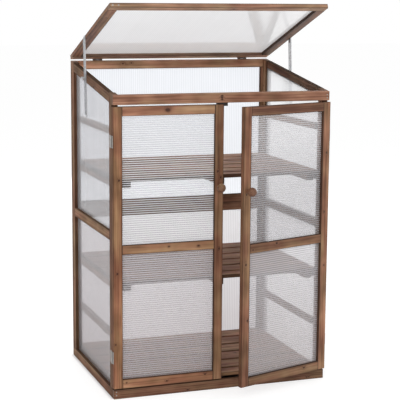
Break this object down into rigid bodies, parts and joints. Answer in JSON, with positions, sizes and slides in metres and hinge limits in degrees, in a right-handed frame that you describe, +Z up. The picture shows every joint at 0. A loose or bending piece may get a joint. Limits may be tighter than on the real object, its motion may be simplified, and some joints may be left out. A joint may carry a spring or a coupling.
{
  "type": "mini greenhouse",
  "caption": "Free-standing wooden mini greenhouse with slatted shelves, glazed front doors and a glazed lid held open by slotted stays.",
  "frame": {"origin": "middle of the underside of the base front rail, on the ground", "axes": "+X to the right seen from the front, +Y towards the back, +Z up; the doors face -Y"},
  "size_m": [0.791, 0.713, 1.2964],
  "materials": {
    "frame_wood": "satin",
    "shelf_wood": "matte",
    "knob_wood": "satin",
    "twin_wall_sheet": "satin",
    "galvanised_steel": "satin",
    "catch_plastic": "matte"
  },
  "bodies": {
    "cabinet": {"back_lower_pane": "twin_wall_sheet", "back_lower_rails": "frame_wood", "back_lower_stiles": "frame_wood", "back_upper_pane": "twin_wall_sheet", "back_upper_rails": "frame_wood", "back_upper_stiles": "frame_wood", "base_front_rail": "frame_wood", "door_catch": "catch_plastic", "door_hinge_post_leaves": "galvanised_steel", "floor_battens": "shelf_wood", "floor_slats": "shelf_wood", "front_beam": "frame_wood", "lid_hinge_back_leaves": "galvanised_steel", "lower_shelf_battens": "shelf_wood", "lower_shelf_slats": "shelf_wood", "shelf_cleats": "shelf_wood", "side_left_back_post": "frame_wood", "side_left_bottom_rail": "frame_wood", "side_left_front_post": "frame_wood", "side_left_lower_pane": "twin_wall_sheet", "side_left_mid_rail": "frame_wood", "side_left_top_rail": "frame_wood", "side_left_upper_pane": "twin_wall_sheet", "side_right_back_post": "frame_wood", "side_right_bottom_rail": "frame_wood", "side_right_front_post": "frame_wood", "side_right_lower_pane": "twin_wall_sheet", "side_right_mid_rail": "frame_wood", "side_right_top_rail": "frame_wood", "side_right_upper_pane": "twin_wall_sheet", "stay_bolts": "galvanised_steel", "upper_shelf_battens": "shelf_wood", "upper_shelf_slats": "shelf_wood"},
    "left_door": {"left_door_hinge_leaves": "galvanised_steel", "left_door_hinge_stile": "frame_wood", "left_door_keeper": "galvanised_steel", "left_door_knob": "knob_wood", "left_door_latch_stile": "frame_wood", "left_door_lower_pane": "twin_wall_sheet", "left_door_rails": "frame_wood", "left_door_upper_pane": "twin_wall_sheet"},
    "right_door": {"right_door_hinge_leaves": "galvanised_steel", "right_door_hinge_stile": "frame_wood", "right_door_keeper": "galvanised_steel", "right_door_knob": "knob_wood", "right_door_latch_stile": "frame_wood", "right_door_lower_pane": "twin_wall_sheet", "right_door_rails": "frame_wood", "right_door_upper_pane": "twin_wall_sheet"},
    "lid": {"lid_back_rail": "frame_wood", "lid_front_rail": "frame_wood", "lid_hinge_leaves": "galvanised_steel", "lid_left_rail": "frame_wood", "lid_pane": "twin_wall_sheet", "lid_right_rail": "frame_wood", "stay_pivot_screws": "galvanised_steel"},
    "left_stay": {"left_stay": "galvanised_steel"},
    "right_stay": {"right_stay": "galvanised_steel"},
    "left_wing_nut": {"left_wing_nut": "galvanised_steel"},
    "right_wing_nut": {"right_wing_nut": "galvanised_steel"}
  },
  "joints": [
    {"name": "left_door_hinge", "type": "hinge", "parent": "cabinet", "child": "left_door", "pos_m": [-0.3825, 0.0075, 0.5], "axis": [0, 0, -1], "range_deg": [0, 178]},
    {"name": "right_door_hinge", "type": "hinge", "parent": "cabinet", "child": "right_door", "pos_m": [0.3825, 0.0075, 0.5], "axis": [0, 0, 1], "range_deg": [-18.2, 159.8]},
    {"name": "lid_hinge", "type": "hinge", "parent": "cabinet", "child": "lid", "pos_m": [0, 0.55197, 1.09188], "axis": [-1, 0, 0], "range_deg": [-28.42, 35.6]},
    {"name": "left_stay_pivot", "type": "hinge", "parent": "lid", "child": "left_stay", "pos_m": [-0.3815, 0.34039, 1.17539], "axis": [1, 0, 0], "range_deg": [-14.25, 17.85]},
    {"name": "left_wing_nut_turn", "type": "hinge", "parent": "cabinet", "child": "left_wing_nut", "pos_m": [-0.39, 0.3305, 1.04], "axis": [-1, 0, 0], "continuous": true},
    {"name": "right_stay_pivot", "type": "hinge", "parent": "lid", "child": "right_stay", "pos_m": [0.3815, 0.34039, 1.17539], "axis": [1, 0, 0], "range_deg": [-14.25, 17.85]},
    {"name": "right_wing_nut_turn", "type": "hinge", "parent": "cabinet", "child": "right_wing_nut", "pos_m": [0.39, 0.3305, 1.04], "axis": [1, 0, 0], "continuous": true}
  ],
  "couplings": [
    {"joint": "left_stay_pivot", "follows": "lid_hinge", "ratio": 0.5},
    {"joint": "right_stay_pivot", "follows": "lid_hinge", "ratio": 0.5}
  ]
}
